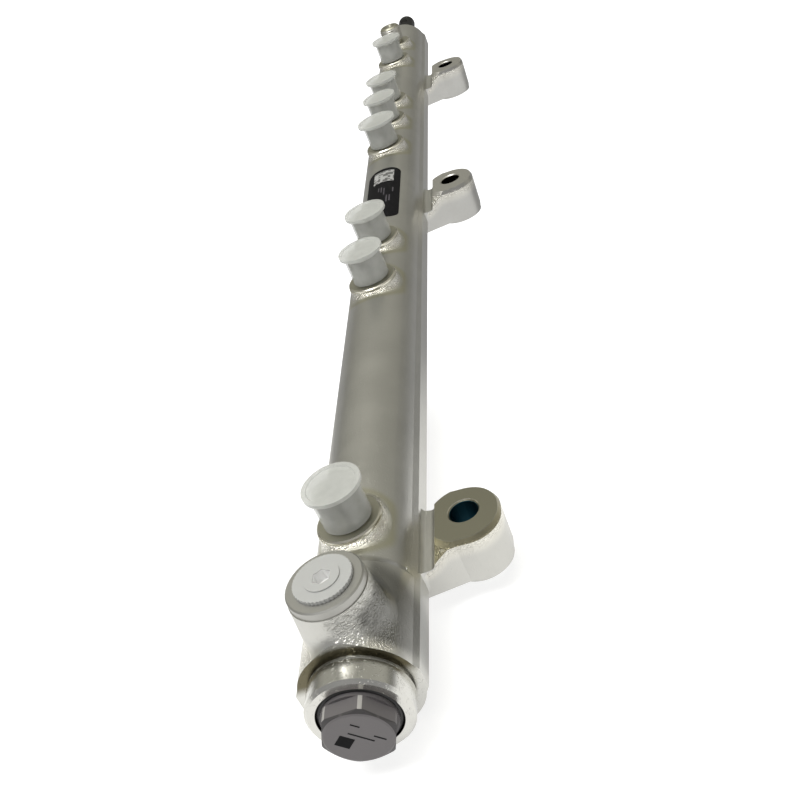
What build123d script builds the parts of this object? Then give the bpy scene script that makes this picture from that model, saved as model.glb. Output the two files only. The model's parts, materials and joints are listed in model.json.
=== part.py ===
"""Forged fuel rail of a six-cylinder common-rail diesel engine, with all that is fitted to it.

Frame: X runs along the rail from the limiting valve to the pressure sensor, Z is up along the
port and bolt axes, and the origin is the middle bolt hole at the face that meets the engine.
"""
import math
import os

from build123d import *

# Bolt lugs (the lug foot is the mounting plane, z = 0)
lug_pitches = (285.6, 215.1)
bolt_r = 5.25
bolt_edge = 0.6
lug_reach = 37.4
lug_shift = -1.1
lug_foot_half_width = 12.6
lug_foot_end = 12.0
lug_foot_corner = 9.5
lug_foot_proud = 2.0
lug_foot_pad_r = 11.7
lug_ridge_half_width = 13.4
lug_ridge_end = 12.8
lug_ridge_above_axis = 6.8
lug_top_half_width = 12.6
lug_top_end = 12.1
lug_round = 12.0
lug_seat_above_axis = 8.9
lug_crown_r = 13.4
saddle_above_axis = 0.9
saddle_wall_from_bolt = 10.5
saddle_floor = 4.1454
saddle_round = 1.8
neck_start = 4.0
neck_flare = 4.8
neck_inside_tube = 9.0
neck_fillet = 2.5

# Rail tube
axis_above_foot = 13.0
rail_r = 19.0
rail_bore_r = 5.0
far_end = 332.6
far_edge = 1.2
flare_r = 20.0
flare_gap = 1.3
flare_length = 3.0
land_proud = 0.35
land_half_height = 4.2
land_root_height = 9.0
land_root_depth = 3.0

# Turned collar at the valve end
collar_r = 17.1
collar_length = 8.9
collar_groove = 1.2
collar_groove_depth = 1.4
collar_edge = 1.1
collar_back_edge = 0.35

# High-pressure ports
inlet_ports = (-288.4, 139.6)
outlet_pair_first = -116.0
outlet_pair_pitch = 174.0
outlet_pair_gap = 43.0
pair_count = 3
port_seat_height = 21.2
port_seat_r = 11.9
port_seat_edge = 0.5
port_seat_land = 1.5
port_boss_r = 12.2
port_boss_fillet = 4.2
port_crest_r = 8.0
port_thread_depth = 0.75
port_height = 34.6
port_tip_edge = 1.0
port_root_groove = 0.55
port_root_groove_length = 1.6
port_cone_r = 4.6
port_drill_r = 1.6

# Return port
return_port = -330.2
return_height = 33.7
return_top_r = 13.0
return_top_edge = 0.5
return_land = 3.2
return_step = 0.35
return_draft = 5.0
return_fillet = 7.0
return_end_trim = 0.42
return_bore_r = 7.2
return_bore_depth = 13.0
return_drill_r = 2.0

# Caps over the ports
cap_wall = 0.85
cap_foot_gap = 0.5
cap_play = 0.05
cap_flange_r = 10.75
cap_flange_thick = 1.45
cap_flange_groove = 0.4
cap_flange_groove_depth = 0.5
cap_flange_dish = 0.35
cap_flange_rim = 1.6
cap_head_gap = 0.3
cap_wide_flange_r = 11.7
wide_cap = 4

# Plug in the return port
plug_flange_r = 9.9
plug_flange_thick = 1.35
plug_seat_gap = 0.1
plug_teeth = 46
plug_tooth = 0.3
plug_shank_length = 9.0
plug_play = 0.05
plug_boss_r = 5.9
plug_boss_height = 0.5
plug_socket_flats = 5.6
plug_socket_depth = 4.0

# Rating label
label_length = 67.5
label_angle = 63.0
label_corner = 5.5
label_thick = 0.2
label_middle = -11.6
label_play = 0.01

# Limiting valve
valve_flats = 22.0
valve_corner_r = 12.4
valve_face_r = 10.45
valve_hex_length = 6.0
valve_turn = -7.8
valve_head_out = 7.0
valve_flange_r = 12.1
valve_flange = 1.3
valve_gland_r = 13.6
valve_gland_depth = 5.0
valve_neck_r = 10.7
valve_thread_r = 11.0
valve_thread_length = 14.0
valve_play = 0.05
valve_relief_r = 9.4
valve_nose_r = 8.4
valve_nose_length = 16.0
valve_cone = 1.5
valve_shoulder = 1.2
valve_cavity_r = 5.6
valve_cavity_length = 25.0
valve_drain_r = 1.3
valve_drain_count = 4
valve_drain_back = 3.8
seal_cord_r = 1.42
seal_play = 0.02
seat_insert_r = 6.2
seat_insert_length = 7.0
seat_orifice_r = 0.9
seat_mouth_r = 2.2
seat_pocket_r = 2.6
seat_pocket_depth = 3.2
needle_r = 2.5
needle_tip_r = 0.6
needle_length = 9.0
needle_head_r = 5.2
needle_head_length = 1.6
needle_pilot_r = 3.1
needle_pilot_length = 3.0
needle_lift = 0.8
spring_wire_r = 0.75
spring_turns = 4.0
spring_mean_r = 4.2
shim_thick = 1.2
shim_hole_r = 1.5
spring_touch = 0.03

# Pressure sensor
sensor_thread_r = 9.0
sensor_thread_undercut = 1.2
sensor_bore_depth = 15.6
sensor_nose_r = 7.4
sensor_nose_tip_r = 5.6
sensor_nose_gap = 0.1
sensor_play = 0.05
sensor_flats = 27.0
sensor_hex_length = 11.0
sensor_corner_r = 15.2
sensor_hex_face_r = 13.2
sensor_collar_r = 12.4
sensor_collar_length = 9.0
sensor_cavity_r = 10.9
sensor_cavity_floor = 9.0
sensor_lip = 0.7
sensor_lip_thick = 0.8
sensor_pressure_r = 2.0
cell_r = 5.0
cell_height = 3.2
cell_membrane = 0.5
cell_bore_r = 2.0
board_r = 9.8
board_thick = 1.0
board_gap = 1.4
board_notch_r = 1.6
connector_base_r = 10.7
connector_base_length = 4.2
connector_barrel_r = 9.4
connector_barrel_length = 17.0
connector_socket_r = 7.2
connector_step = 1.5
connector_end = 403.4
connector_wall = 1.3
connector_socket_depth = 16.0
connector_key_width = 3.2
connector_key_height = 1.6
connector_latch_width = 6.0
connector_latch_length = 3.0
connector_latch_height = 1.5
sensor_seal_r = 0.75
sensor_seal_groove = 1.7
terminal_width = 1.5
terminal_thick = 0.64
terminal_pitch = 3.4
terminal_tip_back = 4.0
terminal_count = 3

# General
cone_rise = 1.732
hexagon_chamfer = 30.0
over_cut = 1.0
find_margin = 0.05
root_margin = 0.5

# Places that follow from the sizes
lug_stations = (-lug_pitches[0], 0.0, lug_pitches[1])
outlet_ports = tuple(
    outlet_pair_first + pair * outlet_pair_pitch + side * outlet_pair_gap
    for pair in range(pair_count) for side in (0, 1)
)
port_stations = tuple(sorted(inlet_ports + outlet_ports))
open_port = port_stations[-1]
port_core_r = port_crest_r - port_thread_depth
return_rough_z = return_height - return_land
return_foot_r = return_top_r + return_step + return_rough_z * math.tan(math.radians(return_draft))
near_shoulder = return_port - return_foot_r + return_end_trim
collar_back = near_shoulder - collar_groove
collar_front = collar_back - collar_length
cap_inner_r = port_crest_r + cap_play
cap_outer_r = cap_inner_r + cap_wall
cap_head = port_height + cap_head_gap
cap_flange_bottom = cap_head + cap_wall
valve_flange_front = collar_front - valve_head_out + valve_hex_length
valve_hex_front = valve_flange_front - valve_hex_length
gland_floor = collar_front + valve_gland_depth
thread_end = gland_floor + valve_thread_length
nose_end = thread_end + valve_nose_length
cone_tip = nose_end + valve_cone
insert_back = cone_tip - seat_insert_length
cavity_back = insert_back - valve_cavity_length
needle_shoulder = insert_back + seat_mouth_r - needle_r - spring_touch
needle_tip = needle_shoulder + needle_r - needle_tip_r
needle_head = needle_shoulder - needle_length
spring_front = needle_head - needle_head_length
shim_front = cavity_back + spring_touch + shim_thick
sensor_seat = far_end - sensor_bore_depth
sensor_hex_back = far_end + sensor_play
sensor_hex_front = sensor_hex_back + sensor_hex_length
sensor_top = sensor_hex_front + sensor_collar_length
cavity_floor = sensor_hex_back + sensor_cavity_floor
board_back = cavity_floor + cell_height + board_gap
board_front = board_back + board_thick
base_front = sensor_top - sensor_lip_thick - sensor_play
base_back = base_front - connector_base_length
barrel_front = sensor_top + connector_barrel_length
lug_seat_z = axis_above_foot + lug_seat_above_axis
flare_start = lug_stations[0] + lug_shift - lug_ridge_half_width - neck_flare - flare_gap
saddle_z = axis_above_foot + saddle_above_axis

os.makedirs("parts", exist_ok=True)


def on_axis(solid):
    """Move a solid drawn about the X axis onto the rail's axis."""
    return Pos(0, lug_reach, axis_above_foot) * solid


def turned(*points):
    """Solid turned about the X axis from its (x, radius) outline."""
    return revolve(make_face(Polyline(*points, close=True)), Axis.X)


def upright(x, *points):
    """Solid turned about a port axis at station x, from its (radius, height) outline."""
    outline = Plane.XZ * make_face(Polyline(*points, close=True))
    return Pos(x, 0, 0) * revolve(outline, Axis.Z)


def rod(x_from, x_to, r):
    """Plain cylinder about the X axis."""
    return Pos((x_from + x_to) / 2, 0, 0) * Rot(0, 90, 0) * Cylinder(r, x_to - x_from)


def post(x, z_from, z_to, r):
    """Plain cylinder about a port axis."""
    return Pos(x, 0, (z_from + z_to) / 2) * Cylinder(r, z_to - z_from)


def hexagon_bar(x_from, x_to, flats, turn=0.0):
    """Hexagonal bar along X with the stated width across its flats."""
    section = RegularPolygon(flats / 2, 6, major_radius=False, rotation=turn)
    return Pos(x_from, 0, 0) * extrude(Plane.YZ * section, x_to - x_from)


def forged_rail():
    """Outside of the forging: the tube, its thicker valve end, the bolt lugs and the port bosses."""
    over_end = near_shoulder - return_foot_r
    body = on_axis(turned(
        (over_end, 0), (over_end, flare_r), (flare_start - flare_length, flare_r),
        (flare_start, rail_r), (far_end - far_edge, rail_r), (far_end, rail_r - far_edge), (far_end, 0),
    ))
    lug = forged_lug()
    for x in lug_stations:
        joined = body + Pos(x, 0, 0) * lug
        body = fillet([e for e in joined.edges() if is_lug_root(e, x)], neck_fillet)
    return_boss = on_axis(upright(
        return_port, (0, 0), (return_foot_r, 0), (return_top_r + return_step, return_rough_z),
        (return_top_r, return_rough_z), (return_top_r, return_height - return_top_edge),
        (return_top_r - return_top_edge, return_height), (0, return_height),
    ))
    body = blended(body, return_boss, flare_r, return_fillet)
    surplus = Box(near_shoulder - over_end, 2 * return_height, 2 * return_height)
    body = body - on_axis(Pos((over_end + near_shoulder) / 2, 0, 0) * surplus)
    for x in port_stations:
        boss = on_axis(post(x, 0, port_seat_height - port_seat_land, port_boss_r))
        body = blended(body, boss, tube_r_at(x), port_boss_fillet)
    body = body + parting_land(near_shoulder, flare_start, flare_r)
    return body + parting_land(flare_start, far_end - far_edge, rail_r)


def tube_r_at(x):
    """Radius of the forged tube at a station, leaving out the short taper between its two sizes."""
    return flare_r if x < flare_start else rail_r


def blended(body, boss, tube_r, fillet_r):
    """Join a boss to the tube and fillet the edge where they meet."""
    old = body.edges()
    body = body + boss
    root_top = axis_above_foot + tube_r + root_margin
    roots = [e for e in body.edges() - old if e.bounding_box().max.Z < root_top]
    return fillet(roots, fillet_r)


def parting_land(x_from, x_to, tube_r):
    """Flat trimmed land on both flanks of the tube, where the two forging dies part."""
    face_y = tube_r + land_proud
    root_y = face_y - land_root_depth
    outline = make_face(Polyline(
        (face_y, -land_half_height), (face_y, land_half_height), (root_y, land_root_height),
        (-root_y, land_root_height), (-face_y, land_half_height), (-face_y, -land_half_height),
        (-root_y, -land_root_height), (root_y, -land_root_height), close=True,
    ))
    return on_axis(Pos(x_from, 0, 0) * extrude(Plane.YZ * outline, x_to - x_from))


def tongue(z, half_width, end, corner):
    """Flat outline of a lug at height z: outer corners rounded, sides flaring into the tube."""
    root_y = lug_reach - neck_inside_tube
    root_half_width = half_width + neck_flare
    outline = make_face(Polyline(
        (-root_half_width, root_y), (-half_width, neck_start), (-half_width, -end), (half_width, -end),
        (half_width, neck_start), (root_half_width, root_y), close=True,
    ))
    outer = [v for v in outline.vertices() if v.Y < 0]
    return Pos(lug_shift, 0, z) * fillet(outer, corner)


def saddle_profile():
    """Side view of a lug, extruded across it: pillar top, steep back and low saddle to the tube."""
    root_y = lug_reach - neck_inside_tube
    reach = 2 * lug_reach
    wall_foot_y = lug_reach - flare_r - saddle_floor
    outline = make_face(Polyline(
        (root_y, 0), (-reach, 0), (-reach, lug_seat_z), (saddle_wall_from_bolt, lug_seat_z),
        (wall_foot_y, saddle_z), (root_y, saddle_z), close=True,
    ))
    hollow = [v for v in outline.vertices() if v.distance_to(Vertex(wall_foot_y, saddle_z)) < find_margin]
    return extrude(Plane.YZ * fillet(hollow, saddle_round), reach, both=True)


def forged_lug():
    """One forged bolt lug about its own bolt axis, drafted both ways from its trim line."""
    foot = tongue(lug_foot_proud, lug_foot_half_width, lug_foot_end, lug_foot_corner)
    ridge = tongue(axis_above_foot + lug_ridge_above_axis, lug_ridge_half_width, lug_ridge_end, lug_round)
    crown = tongue(lug_seat_z, lug_top_half_width, lug_top_end, lug_round)
    rim_r = lug_crown_r + lug_seat_z - saddle_z - find_margin
    shoulder = upright(
        lug_shift, (lug_crown_r, lug_seat_z), (rim_r, lug_seat_z), (rim_r, lug_seat_z - rim_r + lug_crown_r))
    return ((loft([foot, ridge]) + loft([ridge, crown])) & saddle_profile()) - shoulder


def is_lug_root(edge, station):
    """True for an edge that lies on the tube's skin, all round the lug at a station."""
    near = all(abs(edge.position_at(u).X - station) < 2 * lug_round for u in (0, 1))
    on_skin = all(
        abs(math.hypot(p.Y - lug_reach, p.Z - axis_above_foot) - tube_r_at(station)) < find_margin
        for p in (edge.position_at(u) for u in (0, 1 / 2, 1))
    )
    return near and on_skin


def bolt_hole(x):
    """Bolt hole of the lug at station x, with the chamfer round its mouth in the seat."""
    return upright(
        x, (0, -bolt_edge), (bolt_r, -bolt_edge), (bolt_r, lug_seat_z - bolt_edge),
        (bolt_r + 2 * bolt_edge, lug_seat_z + bolt_edge), (0, lug_seat_z + bolt_edge),
    )


def port_turning(x):
    """Port nipple with its machined seat, standing on the boss at station x."""
    return upright(
        x, (0, 0), (port_seat_r, 0), (port_seat_r, port_seat_height - port_seat_edge),
        (port_seat_r - port_seat_edge, port_seat_height),
        (port_core_r - port_root_groove, port_seat_height),
        (port_core_r - port_root_groove, port_seat_height + port_root_groove_length),
        (port_core_r, port_seat_height + port_root_groove_length + port_root_groove),
        (port_core_r, port_height - port_tip_edge), (port_core_r - port_tip_edge, port_height),
        (0, port_height),
    )


def port_drilling(x):
    """Conical line seat and cross drilling of a high-pressure port, down to the rail bore."""
    return upright(
        x, (0, 0), (port_drill_r, 0), (port_drill_r, port_height - (port_cone_r - port_drill_r) * cone_rise),
        (port_cone_r, port_height), (port_cone_r, port_height + over_cut), (0, port_height + over_cut),
    )


def rail_body():
    """The forged and machined rail: tube, collar, bosses, lugs and every bore."""
    body = forged_rail()
    groove_r = collar_r - collar_groove_depth
    body = body + on_axis(turned(
        (collar_front, 0), (collar_front, collar_r - collar_edge), (collar_front + collar_edge, collar_r),
        (collar_back - collar_back_edge, collar_r), (collar_back, collar_r - collar_back_edge),
        (collar_back, groove_r), (near_shoulder + over_cut, groove_r), (near_shoulder + over_cut, 0),
    ))
    for x in port_stations:
        body = body + on_axis(port_turning(x))
    for x in lug_stations:
        body = body + post(x + lug_shift, 0, 2 * lug_foot_proud, lug_foot_pad_r) - bolt_hole(x)
    for x in port_stations:
        body = body - on_axis(port_drilling(x))
    drain = post(return_port, 0, return_height, return_drill_r)
    socket = post(return_port, return_height - return_bore_depth, return_height + over_cut, return_bore_r)
    return body - on_axis(drain) - on_axis(socket) - on_axis(bore_stack())


def bore_stack():
    """Everything bored from the two ends: valve gland, thread, relief chamber, rail bore, sensor seat."""
    return turned(
        (collar_front - over_cut, 0), (collar_front - over_cut, valve_gland_r), (gland_floor, valve_gland_r),
        (gland_floor, valve_thread_r), (thread_end, valve_thread_r), (thread_end, valve_relief_r),
        (nose_end, valve_relief_r), (nose_end, valve_nose_r + valve_play),
        (nose_end + valve_nose_r + valve_play - rail_bore_r, rail_bore_r),
        (sensor_seat - (sensor_thread_r - rail_bore_r) * cone_rise, rail_bore_r),
        (sensor_seat, sensor_thread_r), (far_end + over_cut, sensor_thread_r), (far_end + over_cut, 0),
    )


def port_cap(x, flange_r):
    """Soft cap pushed over a port thread: sleeve, end wall and the wide flange it is pulled off by."""
    foot = port_seat_height + cap_foot_gap
    groove_z = cap_flange_bottom - cap_flange_groove
    groove_r = cap_outer_r - cap_flange_groove_depth
    top = cap_flange_bottom + cap_flange_thick
    return upright(
        x, (cap_inner_r, foot), (cap_outer_r, foot), (cap_outer_r, groove_z - cap_flange_groove),
        (groove_r, groove_z), (groove_r, cap_flange_bottom), (flange_r, cap_flange_bottom),
        (flange_r, top), (flange_r - cap_flange_rim, top),
        (flange_r - cap_flange_rim - cap_flange_dish, top - cap_flange_dish),
        (0, top - cap_flange_dish), (0, cap_head), (cap_inner_r, cap_head),
    )


def return_plug():
    """Push-in plug of the return port, with a serrated rim and a hexagon socket."""
    base = return_height + plug_seat_gap
    top = base + plug_flange_thick
    tips = []
    for i in range(2 * plug_teeth):
        angle = math.pi * i / plug_teeth
        r = plug_flange_r - plug_tooth * (i % 2)
        tips.append((r * math.cos(angle), r * math.sin(angle)))
    rim = Pos(return_port, 0, base) * extrude(make_face(Polyline(*tips, close=True)), plug_flange_thick)
    shank = post(return_port, return_height - plug_shank_length, base, return_bore_r - plug_play)
    boss = post(return_port, top, top + plug_boss_height, plug_boss_r)
    socket_z = top + plug_boss_height - plug_socket_depth
    socket = extrude(RegularPolygon(plug_socket_flats / 2, 6, major_radius=False), plug_socket_depth)
    return rim + shank + boss - Pos(return_port, 0, socket_z) * socket


def rating_label():
    """Thin adhesive label wrapped over the top of the tube between two pairs of ports."""
    inner = rail_r + label_play
    wrap = rod(label_middle - label_length, label_middle + label_length, inner + label_thick)
    wrap = wrap - rod(label_middle - 2 * label_length, label_middle + 2 * label_length, inner)
    width = 2 * inner * math.sin(math.radians(label_angle / 2))
    outline = Pos(label_middle, 0, 0) * extrude(RectangleRounded(label_length, width, label_corner),
                                                2 * rail_r)
    return wrap & outline


def valve_housing():
    """Screwed housing of the limiting valve: turned hexagon, seal flange, threaded shank and nose."""
    face_rise = (valve_corner_r - valve_face_r) * math.tan(math.radians(hexagon_chamfer))
    head = hexagon_bar(valve_hex_front, valve_flange_front, valve_flats, valve_turn)
    head = head & turned(
        (valve_hex_front, 0), (valve_hex_front, valve_face_r), (valve_hex_front + face_rise, valve_corner_r),
        (valve_flange_front, valve_corner_r), (valve_flange_front, 0),
    )
    shank_r = valve_thread_r - valve_play
    flange_back = valve_flange_front + valve_flange
    shoulder = gland_floor - valve_shoulder
    shank = turned(
        (valve_flange_front, 0), (valve_flange_front, valve_flange_r), (flange_back, valve_flange_r),
        (flange_back, valve_neck_r), (shoulder, valve_neck_r), (shoulder, valve_flange_r),
        (gland_floor - valve_play, valve_flange_r), (gland_floor - valve_play, shank_r),
        (thread_end, shank_r), (thread_end, valve_nose_r), (nose_end, valve_nose_r), (cone_tip, valve_nose_r - valve_cone),
        (cone_tip, 0),
    )
    cavity = rod(cavity_back, cone_tip, valve_cavity_r)
    pocket = rod(insert_back, cone_tip, seat_insert_r + valve_play)
    body = head + shank - cavity - pocket
    drain_x = insert_back - valve_drain_back
    for i in range(valve_drain_count):
        turn = Rot(360 / valve_drain_count * i, 0, 0)
        body = body - turn * Pos(drain_x, 0, 0) * Cylinder(
            valve_drain_r, valve_relief_r, align=(Align.CENTER, Align.CENTER, Align.MIN))
    return body


def valve_seat():
    """Hardened seat insert: entry pocket, orifice and the conical seat that the needle closes."""
    pocket_floor = cone_tip - seat_pocket_depth
    return turned(
        (insert_back, seat_mouth_r), (insert_back, seat_insert_r), (cone_tip, seat_insert_r),
        (cone_tip, seat_pocket_r), (pocket_floor, seat_pocket_r), (pocket_floor, seat_orifice_r),
        (insert_back + seat_mouth_r - seat_orifice_r, seat_orifice_r),
    )


def valve_needle():
    """Needle of the limiting valve: sealing cone, shank, guided head and spring pilot."""
    pilot_back = spring_front - needle_pilot_length
    return turned(
        (needle_tip, 0), (needle_tip, needle_tip_r), (needle_shoulder, needle_r), (needle_head, needle_r),
        (needle_head, needle_head_r), (spring_front, needle_head_r), (spring_front, needle_pilot_r),
        (pilot_back, needle_pilot_r), (pilot_back, 0),
    )


def valve_spring():
    """Compression spring between the needle's head and the shim."""
    coil_from = shim_front + spring_touch + spring_wire_r
    coil_length = spring_front - spring_touch - spring_wire_r - coil_from
    path = Helix(coil_length / spring_turns, coil_length, spring_mean_r)
    section = Plane(path @ 0, z_dir=path % 0) * Circle(spring_wire_r)
    return Pos(coil_from, 0, 0) * Rot(0, 90, 0) * sweep(section, path=path)


def valve_shim():
    """Ring that sets the spring's preload at the bottom of the housing."""
    back = cavity_back + spring_touch
    outer = valve_cavity_r - valve_play
    return turned((back, shim_hole_r), (back, outer), (shim_front, outer), (shim_front, shim_hole_r))


def cord_ring(x, mean_r, cord_r):
    """Round-section seal ring about the X axis."""
    return Pos(x, 0, 0) * Rot(0, 90, 0) * Torus(mean_r, cord_r)


def valve_seal():
    """Seal ring in the gland between the valve's neck and the collar."""
    x = valve_flange_front + valve_flange + seal_cord_r + seal_play
    return cord_ring(x, (valve_gland_r + valve_neck_r) / 2, seal_cord_r)


def sensor_body():
    """Steel body of the pressure sensor: nose, thread, hexagon and the collar rolled over the connector."""
    tip = sensor_seat - (sensor_thread_r - sensor_nose_tip_r) * cone_rise + sensor_nose_gap
    nose = sensor_seat - (sensor_thread_r - sensor_nose_r) * cone_rise + sensor_nose_gap
    thread_from = sensor_seat + sensor_thread_undercut
    thread_r = sensor_thread_r - sensor_play
    lip_r = sensor_cavity_r - sensor_lip
    shell = turned(
        (tip, sensor_pressure_r), (tip, sensor_nose_tip_r), (nose, sensor_nose_r),
        (thread_from, sensor_nose_r), (thread_from, thread_r), (sensor_hex_back, thread_r),
        (sensor_hex_back, sensor_collar_r), (sensor_top, sensor_collar_r), (sensor_top, lip_r),
        (sensor_top - sensor_lip_thick, lip_r), (sensor_top - sensor_lip_thick, sensor_cavity_r),
        (cavity_floor, sensor_cavity_r), (cavity_floor, sensor_pressure_r),
    )
    rise = (sensor_corner_r - sensor_hex_face_r) * math.tan(math.radians(hexagon_chamfer))
    nut = hexagon_bar(sensor_hex_back, sensor_hex_front, sensor_flats) & turned(
        (sensor_hex_back, 0), (sensor_hex_back, sensor_hex_face_r), (sensor_hex_back + rise, sensor_corner_r),
        (sensor_hex_front - rise, sensor_corner_r), (sensor_hex_front, sensor_hex_face_r),
        (sensor_hex_front, 0),
    )
    return shell + (nut - rod(sensor_hex_back - over_cut, sensor_hex_front + over_cut,
                               sensor_collar_r - sensor_lip))


def measuring_cell():
    """Pressure cell: a cup whose thin top is the membrane, open to the rail below."""
    back = cavity_floor + spring_touch
    top = cavity_floor + cell_height
    return turned(
        (back, cell_bore_r), (back, cell_r), (top, cell_r), (top, 0), (top - cell_membrane, 0),
        (top - cell_membrane, cell_bore_r),
    )


def circuit_board():
    """Round circuit board over the cell, with two notches that key it in the body."""
    board = rod(board_back, board_front, board_r)
    for side in (-1, 1):
        board = board - Pos(0, 0, side * board_r) * rod(
            board_back - over_cut, board_front + over_cut, board_notch_r)
    return board


def terminal_offsets():
    """Sideways places of the connector's terminals."""
    middle = (terminal_count - 1) / 2
    return [(i - middle) * terminal_pitch for i in range(terminal_count)]


def terminal_bar(y, x_from, x_to, gap):
    """Flat bar of a terminal's section plus a gap all round, at sideways place y."""
    size = Box(x_to - x_from, terminal_width + 2 * gap, terminal_thick + 2 * gap)
    return Pos((x_from + x_to) / 2, y, 0) * size


def sensor_connector():
    """Moulded connector: base under the rolled lip, barrel, keyed socket and latch ramp."""
    groove_from = (base_back + base_front - sensor_seal_groove) / 2
    groove_r = sensor_cavity_r - 2 * sensor_seal_r - sensor_play
    socket_r = connector_socket_r
    body = turned(
        (base_back, 0), (base_back, connector_base_r), (groove_from, connector_base_r),
        (groove_from, groove_r), (groove_from + sensor_seal_groove, groove_r),
        (groove_from + sensor_seal_groove, connector_base_r), (base_front, connector_base_r),
        (base_front, connector_barrel_r), (barrel_front - connector_step, connector_barrel_r),
        (barrel_front, socket_r), (connector_end, socket_r), (connector_end, 0),
    )
    socket_length = connector_end - barrel_front
    key_z = socket_r + connector_key_height / 2 - connector_wall / 2
    key = Pos((barrel_front + connector_end) / 2, 0, -key_z) * Box(
        socket_length, connector_key_width, connector_key_height + connector_wall)
    latch = Plane.XZ * make_face(Polyline(
        (0, 0), (connector_latch_length, 0), (connector_latch_length, connector_latch_height), close=True))
    latch = extrude(latch, connector_latch_width / 2, both=True)
    latch_x = barrel_front + socket_length / 2
    body = body + key + Pos(latch_x, 0, socket_r - connector_wall / 4) * latch
    body = body - rod(connector_end - connector_socket_depth, connector_end + over_cut,
                      socket_r - connector_wall)
    for y in terminal_offsets():
        body = body - terminal_bar(
            y, base_back - over_cut, connector_end - connector_socket_depth + over_cut, spring_touch)
    return body


def sensor_seal():
    """Seal ring between the connector's base and the sensor body."""
    return cord_ring((base_back + base_front) / 2, sensor_cavity_r - sensor_seal_r - seal_play,
                     sensor_seal_r - seal_play)


def nodes():
    """Every piece of the rail by its node name."""
    pieces = {"rail_body": rail_body(), "return_port_plug": on_axis(return_plug())}
    for number, x in enumerate(port_stations[:-1], start=1):
        flange_r = cap_wide_flange_r if number == wide_cap else cap_flange_r
        pieces[f"port_cap_{number}"] = on_axis(port_cap(x, flange_r))
    pieces["rating_label"] = on_axis(rating_label())
    about_axis = {
        "valve_housing": valve_housing, "valve_seal_ring": valve_seal, "valve_seat": valve_seat,
        "valve_needle": valve_needle, "valve_spring": valve_spring, "valve_shim": valve_shim,
        "sensor_body": sensor_body, "sensor_measuring_cell": measuring_cell,
        "sensor_circuit_board": circuit_board, "sensor_seal_ring": sensor_seal,
        "sensor_connector": sensor_connector,
    }
    for name, build in about_axis.items():
        pieces[name] = on_axis(build())
    for number, y in enumerate(terminal_offsets(), start=1):
        tip = connector_end - terminal_tip_back
        pieces[f"sensor_terminal_{number}"] = on_axis(terminal_bar(y, board_front + spring_touch, tip, 0))
    return pieces


for name, piece in nodes().items():
    export_step(piece, f"parts/{name}.step")
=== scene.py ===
"""Looks of a forged common-rail fuel rail: finishes, threads, print, light and camera.

All places are in metres in the frame of the solids: X runs along the rail from the limiting
valve to the pressure sensor, Z along the port and bolt axes. Sizes are written in millimetres
and multiplied by MM where they meet a mesh.
"""
import enum
import json
import logging
import math
from dataclasses import dataclass, field

import bmesh
import bpy
import numpy as np
from mathutils import Euler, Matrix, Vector


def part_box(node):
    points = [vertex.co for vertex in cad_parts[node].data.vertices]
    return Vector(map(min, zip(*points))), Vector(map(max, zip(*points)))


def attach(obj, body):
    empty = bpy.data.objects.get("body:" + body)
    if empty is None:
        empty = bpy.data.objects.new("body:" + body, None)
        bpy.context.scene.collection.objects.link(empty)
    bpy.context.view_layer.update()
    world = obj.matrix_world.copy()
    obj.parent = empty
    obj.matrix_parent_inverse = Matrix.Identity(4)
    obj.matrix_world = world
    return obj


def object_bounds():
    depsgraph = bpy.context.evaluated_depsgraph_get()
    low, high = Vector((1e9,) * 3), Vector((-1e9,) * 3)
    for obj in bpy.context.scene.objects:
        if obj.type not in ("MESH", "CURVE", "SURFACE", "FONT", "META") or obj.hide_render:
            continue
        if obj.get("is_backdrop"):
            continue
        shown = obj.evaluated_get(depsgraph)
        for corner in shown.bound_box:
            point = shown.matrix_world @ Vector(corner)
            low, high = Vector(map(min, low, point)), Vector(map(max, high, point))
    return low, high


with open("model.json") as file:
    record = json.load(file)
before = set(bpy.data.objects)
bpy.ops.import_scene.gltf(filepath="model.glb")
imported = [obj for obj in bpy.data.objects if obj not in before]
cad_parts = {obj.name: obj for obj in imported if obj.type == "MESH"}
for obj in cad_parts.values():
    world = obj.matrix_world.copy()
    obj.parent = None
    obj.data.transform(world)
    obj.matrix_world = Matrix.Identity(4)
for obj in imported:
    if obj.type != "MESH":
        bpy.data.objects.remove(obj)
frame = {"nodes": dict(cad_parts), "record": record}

MM = 0.001
MERGE = 1e-7  # metres within which two points of a mesh are one
CLOUD_SPAN = (0.3, 0.7)  # values of a slow noise between which a tone changes
CLOUD_SCALE = 0.12  # size of a surface's grain as a share of the size of its slow noise
SHARP, CRISP, SOFT = 0.05, 0.1, 0.2  # millimetres over which a mask fades at a worked edge
CAP_SEAT = 0.3  # millimetres from a port's mount down to where its cap's sleeve ends
BODY = "rail"
LOG = logging.getLogger("fuel_rail")

Piece = bpy.types.Object
Material = bpy.types.Material
Node = bpy.types.Node
NodeTree = bpy.types.NodeTree
Socket = bpy.types.NodeSocket
Feed = Socket | float
Colour = tuple[float, float, float]
Span = tuple[float, float]  # first and last value of a stretch
Edge = tuple[float, float]  # edge of a mask and the blur beside it, in millimetres


class Slot(enum.Enum):
    """Names of three of the record's material slots."""

    FORGING = "plated_forging"
    LABEL = "label_film"
    VALVE = "valve_steel"


# ---------------------------------------------------------------- places read from the solids


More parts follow.
